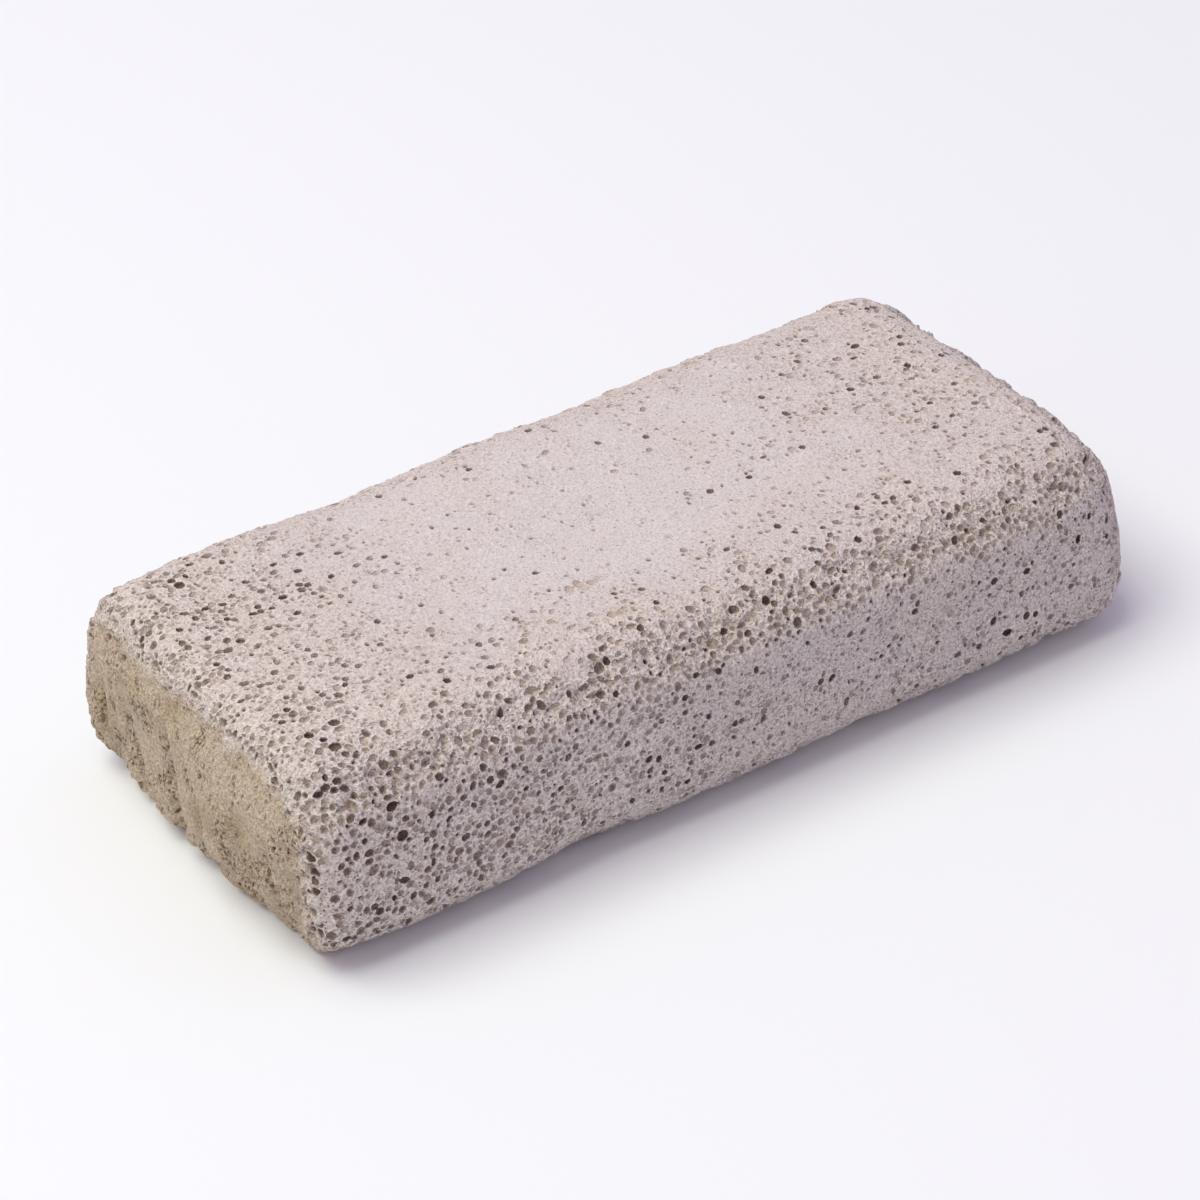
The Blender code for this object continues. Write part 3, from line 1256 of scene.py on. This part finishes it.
@dataclass
class PumiceStone:
    """The stone's visible skin, which stands for the plain solid.

    Each pattern of its relief is in mm. The edges are chipped all round, and the upper back and right edges
    also have notches that run over them.
    """

    form: BarForm
    finish: GroundPumice
    pores: PoreField
    cutter: PoreCutter = field(default_factory=PoreCutter)

    # The skin's unevenness, and the broken end's.
    swell: Patches = Patches(0.0, 0.060, 2.4, Seed.SWELL)
    grain: Patches = Patches(0.0, 0.060, 0.75, Seed.GRAIN)
    lumps: Patches = Patches(0.0, 0.42, 5.0, Seed.LUMPS, (1.0, 1.0, 1.3))
    flutes: Patches = Patches(0.0, 0.26, 2.2, Seed.FLUTES, (1.0, 1.0, 1.5))
    flute_sink: float = 0.156
    crumbs: Patches = Patches(0.0, 0.32, 0.90, Seed.CRUMBS)
    crumb_shares: Pair = (0.6, 0.4)
    groove_depth_mm: float = 1.5
    relief_limits: Pair = (0.45, 0.92)

    # The edges' chips and notches. A notch is long across its edge, so that it shows in the outline.
    edge_limits: Pair = (0.95, 0.80)
    chip_mm: float = 0.40
    chips: Patches = Patches(0.0, 1.0, 1.2, Seed.CHIPS)
    chip_limits: Pair = (-0.05, 0.28)
    notch_mm: float = 0.50
    notches: tuple[tuple[int, Patches], ...] = (
        (Y, Patches(0.0, 1.0, 1.9, Seed.NOTCHES_BACK, (1.0, 4.0, 4.0))),
        (X, Patches(0.0, 1.0, 1.9, Seed.NOTCHES_RIGHT, (4.0, 1.0, 4.0))),
    )
    notch_limits: Pair = (-0.12, 0.15)
    notch_up_limits: Pair = (0.15, 0.40)
    notch_away_limits: Pair = (0.15, 0.35)

    # The ragged moves that crook the pores' rims.
    ragged: tuple[Patches, ...] = tuple(
        Patches(0.0, 0.095, 0.50, seed) for seed in (Seed.RAGGED_X, Seed.RAGGED_Y, Seed.RAGGED_Z)
    )
    still_below_mm: float = 0.5
    easings: int = 8
    steepest: float = 0.5

    # How the skin is cut up and thinned.
    weld_mm: float = 0.001
    end_reach: float = 0.8
    end_cuts: int = 4
    worn_cuts: int = 3
    thinned_until: float = 0.45
    in_skin_mm: float = 0.004
    owners_tried: int = 4
    chart_gap_mm: float = 2.0

    def skin(self) -> Object:
        """The solid's own surface, closed, with more triangles where its relief is finest.

        Returns:
            The object with the closed skin.
        """
        bm = bmesh.new()
        bm.from_mesh(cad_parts[NODE].data)
        bmesh.ops.remove_doubles(bm, verts=bm.verts, dist=self.weld_mm * MM)
        reach = self.form.low[X] + self.end_reach * self.form.edge_radius
        rough = {e for e in bm.edges if max(v.co.x for v in e.verts) / MM < reach}
        middles = np.array([(e.verts[0].co + e.verts[1].co) / 2.0 for e in bm.edges]) / MM
        worn = [e for e, chipped in zip(bm.edges, self.form.worn(middles)) if chipped and e not in rough]
        bmesh.ops.subdivide_edges(bm, edges=list(rough), cuts=self.end_cuts)
        bmesh.ops.subdivide_edges(bm, edges=worn, cuts=self.worn_cuts)
        bmesh.ops.triangulate(bm, faces=bm.faces[:])
        mesh = bpy.data.meshes.new("skin")
        bm.to_mesh(mesh)
        bm.free()
        return new_object("skin", mesh)

    def build(self) -> Object:
        """Makes the finished stone.

        Returns:
            The piece.
        """
        skin = self.skin()
        surface = Surface(skin.data)
        pores = self.pores.scatter(surface)
        mesh = self.cutter.cut(skin, pores, self.finish.material())
        points = coordinates(mesh)
        plain = (self.form.leftward(points) < self.thinned_until) & ~self.form.worn(points)
        mesh = self.cutter.thinned(mesh, plain)
        points = coordinates(mesh)
        places, triangles, depths = surface.nearest(points)
        self.even_out(mesh, depths)
        self.mark(mesh, pores, places, depths)
        lift, sideways = self.relief(surface, places, triangles)
        self.ease(mesh, points + lift, sideways, depths)
        move_to(mesh, points + lift + sideways)
        self.unwrap(mesh)
        bpy.data.objects.remove(skin)
        piece = new_object("porous_stone", mesh)
        counts = len(mesh.polygons), len(surface.corners)
        LOG.info("porous_stone: %d triangles, from a plain skin of %d", *counts)
        return piece

    def even_out(self, mesh: Mesh, depths: np.ndarray) -> None:
        """Turns the edges between skin triangles so that none of the triangles is needlessly thin.

        Args:
            mesh: the cut mesh. Its vertices stay as they are.
            depths: how far below the plain skin each vertex lies, in mm.
        """
        bm = bmesh.new()
        bm.from_mesh(mesh)
        bm.verts.ensure_lookup_table()
        flat = {f for f in bm.faces if max(depths[v.index] for v in f.verts) < self.in_skin_mm}
        inner = [e for e in bm.edges if len(e.link_faces) == 2 and all(f in flat for f in e.link_faces)]
        bmesh.ops.beautify_fill(bm, faces=list(flat), edges=inner, method="ANGLE")
        bm.to_mesh(mesh)
        bm.free()

    def ease(self, mesh: Mesh, points: np.ndarray, sideways: np.ndarray, depths: np.ndarray) -> None:
        """Takes back the sideways moves that would fold a triangle of the skin over.

        Args:
            mesh: the cut mesh.
            points: where its vertices stand before they move sideways, in mm.
            sideways: the move of each, which is eased in place.
            depths: how far below the plain skin each vertex lies.
        """
        corners = corners_of(mesh)
        corners = corners[depths[corners].max(1) < self.in_skin_mm]
        outward = self.form.facing(points[corners].mean(1))
        for _ in range(self.easings):
            a, b, c = ((points + sideways)[corners[:, i]] for i in range(3))
            normal = np.cross(b - a, c - a)
            size = np.maximum(np.linalg.norm(normal, axis=1), 1e-9)
            folded = (normal * outward).sum(1) / size < self.steepest
            sideways[corners[folded].ravel()] *= 0.5

    def relief(
        self, surface: Surface, places: np.ndarray, triangles: np.ndarray
    ) -> tuple[np.ndarray, np.ndarray]:
        """How far each vertex moves.

        The solid's facets are rounded. The skin swells a little and has a grain. The broken end has lumps,
        flutes, crumbs and grooves, and the edges have chips and notches. The flat that the stone lies on
        stays flat.

        Args:
            surface: the plain skin.
            places: the place on it under each vertex.
            triangles: its triangle there.

        Returns:
            The move of each vertex in or out, and its ragged move in any direction, in mm.
        """
        facing = self.form.facing(places)
        broken = rise(*self.relief_limits, self.form.leftward(places))
        lobes = self.lumps.at(places) + self.flutes.at(places) - self.flute_sink
        everywhere, patchy = self.crumb_shares
        crumbly = everywhere * broken + patchy * self.form.crumbled(places)
        lift = self.swell.at(places) + self.grain.at(places) + broken * lobes
        lift += crumbly * self.crumbs.at(places)
        lift -= broken * self.groove_depth_mm * self.form.grooves(places)

        edge = rise(*self.edge_limits, np.abs(facing).max(1))
        lift -= edge * self.chip_mm * rise(*self.chip_limits, self.chips.at(places))
        edge *= rise(*self.notch_up_limits, facing[:, Z])
        for axis, notches in self.notches:
            away = edge * rise(*self.notch_away_limits, facing[:, axis])
            lift -= away * self.notch_mm * rise(*self.notch_limits, notches.at(places))

        sideways = np.stack([patches.at(places) for patches in self.ragged], 1)
        off_floor = rise(0.0, self.still_below_mm, places[:, Z])[:, None]
        moved = surface.rounding(places, triangles) + facing * lift[:, None]
        return moved * off_floor, sideways * off_floor

    def mark(self, mesh: Mesh, pores: Pores, places: np.ndarray, depths: np.ndarray) -> None:
        """Tells the material which faces lie in a pore, how dark that pore is, and how foamy each place is.

        Args:
            mesh: the cut mesh, which gets the attributes and smooth shading with crisp rims.
            pores: the pores.
            places: the place on the plain skin under each vertex, in mm.
            depths: how far below it the vertex lies.
        """
        corners = corners_of(mesh)
        inside = depths[corners].max(1) > self.in_skin_mm
        tree = tree_of(pores.middles)
        owner = np.full(len(corners), -1)
        centres = coordinates(mesh)[corners].mean(1)
        for face in np.flatnonzero(inside).tolist():
            near = tree.find_n(centres[face].tolist(), self.owners_tried)
            owner[face] = min(near, key=lambda found: found[2] / pores.radii[found[1]])[1]
        form = self.form
        for name, domain, values in (
            ("hollow", "FACE", inside),
            ("tone", "FACE", np.where(inside, pores.tones[owner], 0.0)),
            ("depth", "POINT", depths),
            ("cream", "POINT", form.creaminess(places)),
            ("foam", "POINT", form.foaminess(places)),
            ("raw", "POINT", form.rawness(places)),
            ("broken", "POINT", form.broken(places)),
            ("crumbled", "POINT", form.crumbled(places)),
        ):
            mesh.attributes.new(name, "FLOAT", domain).data.foreach_set("value", values.astype(np.float32))
        mesh.shade_smooth()
        self.crease(mesh, owner)

    @staticmethod
    def crease(mesh: Mesh, owner: np.ndarray) -> None:
        """Makes every edge between a pore and what is beside it sharp.

        Args:
            mesh: the mesh.
            owner: the pore that each face lies in, or -1.
        """
        edge_of_loop = read(mesh.loops, "edge_index", 1).ravel()
        owner_of_loop = np.repeat(owner, 3)
        lowest = np.full(len(mesh.edges), owner.max() + 1)
        highest = np.full(len(mesh.edges), owner.min() - 1)
        np.minimum.at(lowest, edge_of_loop, owner_of_loop)
        np.maximum.at(highest, edge_of_loop, owner_of_loop)
        mesh.attributes.new("sharp_edge", "BOOLEAN", "EDGE").data.foreach_set("value", lowest != highest)

    def unwrap(self, mesh: Mesh) -> None:
        """Lays the six sides out as flat charts, side by side, so that a pore stays within its side's chart.

        Args:
            mesh: the cut mesh.
        """
        points = coordinates(mesh) - self.form.low
        length, width, height = self.form.high - self.form.low
        gap = self.chart_gap_mm
        centres = np.array([f.center for f in mesh.polygons]) / MM
        facing = self.form.facing(centres)
        axis = np.abs(facing).argmax(1)
        side = axis * 2 + (facing[np.arange(len(axis)), axis] > 0.0)
        # For each side: the axes that run right and up its chart, and how far right and up the chart starts.
        charts = (
            (Z, Y, length + gap, 0.0),
            (Z, Y, length + gap, width + gap),
            (X, Z, 0.0, 2.0 * (width + gap)),
            (X, Z, 0.0, 2.0 * (width + gap) + height + gap),
            (X, Y, 0.0, 0.0),
            (X, Y, 0.0, width + gap),
        )
        whole = max(length + height + gap, 2.0 * (width + height) + 3.0 * gap)
        loops = read(mesh.loops, "vertex_index", 1).ravel()
        side_of_loop = np.repeat(side, 3)
        uv = np.zeros((len(loops), 2))
        for number, (first, second, right, up) in enumerate(charts):
            here = side_of_loop == number
            uv[here] = points[loops[here]][:, [first, second]] + (right, up)
        layer = mesh.uv_layers.new(name="OFBake")
        layer.uv.foreach_set("vector", (uv / whole).astype(np.float32).ravel())


# ------------------------------------------------------------------------------------------ the studio


@dataclass(frozen=True)
class Lamp:
    """A square soft light: its place and its side, in metres, its power in watts and its sRGB hex colour."""

    name: str
    place: Place
    side: float
    power: float
    colour: str

    def hang(self, aim: Vector) -> None:
        """Hangs the light so that it shines at a point.

        Args:
            aim: the point, in metres.
        """
        light = bpy.data.lights.new(self.name, "AREA")
        light.size = self.side
        light.energy = self.power
        light.color = linear(self.colour)[:3]
        lamp = new_object(self.name, light)
        lamp.location = self.place
        lamp.rotation_euler = (aim - Vector(self.place)).to_track_quat("-Z", "Y").to_euler()


@dataclass
class Studio:
    """A pale paper floor, a large soft light above with a weak one on the left, a pale sky, and the camera.

    Angles are in degrees, and lengths in metres unless a name says otherwise.
    """

    paper: WhitePaper = WhitePaper()
    floor_size: float = 3.0
    lamps: tuple[Lamp, ...] = (
        Lamp("overhead", (-0.36, 0.13, 0.9), 0.7, 7.05, "fafef5"),
        Lamp("left", (-0.9, -0.15, 0.35), 0.6, 0.22, "ffffff"),
    )
    sky: str = "eedfff"
    sky_strength: float = 0.52
    azimuth: float = -33.2
    elevation: float = 34.6
    roll: float = -2.2
    distance: float = 0.4037
    nearest_seen: float = 0.01
    focal_px: float = 4087.0
    picture_px: float = 1200.0
    sensor_mm: float = 36.0
    aim: Place = (-0.0009, 0.0005, 0.011)

    def floor(self) -> Object:
        """The floor, plain and pale.

        Returns:
            The floor's object.
        """
        bm = bmesh.new()
        bmesh.ops.create_grid(bm, x_segments=1, y_segments=1, size=self.floor_size / 2.0)
        mesh = bpy.data.meshes.new("floor")
        bm.to_mesh(mesh)
        bm.free()
        mesh.materials.append(self.paper.material())
        return new_object("floor", mesh)

    def lights(self) -> None:
        """The two lamps and the sky."""
        for lamp in self.lamps:
            lamp.hang(Vector(self.aim))
        world = bpy.data.worlds.new("pale_sky")
        world.use_nodes = True
        background = world.node_tree.nodes["Background"]
        background.inputs["Color"].default_value = linear(self.sky)
        background.inputs["Strength"].default_value = self.sky_strength
        bpy.context.scene.world = world

    def camera(self) -> None:
        """The camera, aimed at the middle of the stone from the front left and above."""
        az, el = math.radians(self.azimuth), math.radians(self.elevation)
        back = Vector((math.sin(az) * math.cos(el), -math.cos(az) * math.cos(el), math.sin(el)))
        right = Vector((math.cos(az), math.sin(az), 0.0))
        up = back.cross(right)
        stand = Matrix((right, up, back)).transposed() @ Matrix.Rotation(math.radians(self.roll), 3, "Z")
        data = bpy.data.cameras.new("camera")
        data.sensor_width = self.sensor_mm
        data.lens = self.focal_px / self.picture_px * self.sensor_mm
        data.clip_start = self.nearest_seen
        camera = new_object("camera", data)
        camera.matrix_world = Matrix.Translation(Vector(self.aim) + back * self.distance) @ stand.to_4x4()
        bpy.context.scene.camera = camera

    def build(self) -> Object:
        """Sets up the studio.

        Returns:
            The floor.
        """
        self.lights()
        self.camera()
        bpy.context.scene.view_settings.view_transform = "Standard"
        LOG.info("studio: %d lamps, a sky and a floor of %.0f m", len(self.lamps), self.floor_size)
        return self.floor()


def main() -> None:
    """Builds the stone and the studio, hangs the stone on its body and hides the solid that it stands for."""
    logging.basicConfig(level=logging.INFO, format="%(name)s: %(message)s")
    form = BarForm.of_node(NODE)
    stone = PumiceStone(form, GroundPumice(), PoreField(form)).build()
    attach(stone, BODY)
    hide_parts(NODE)
    Studio().build()


if __name__ == "__main__":
    main()
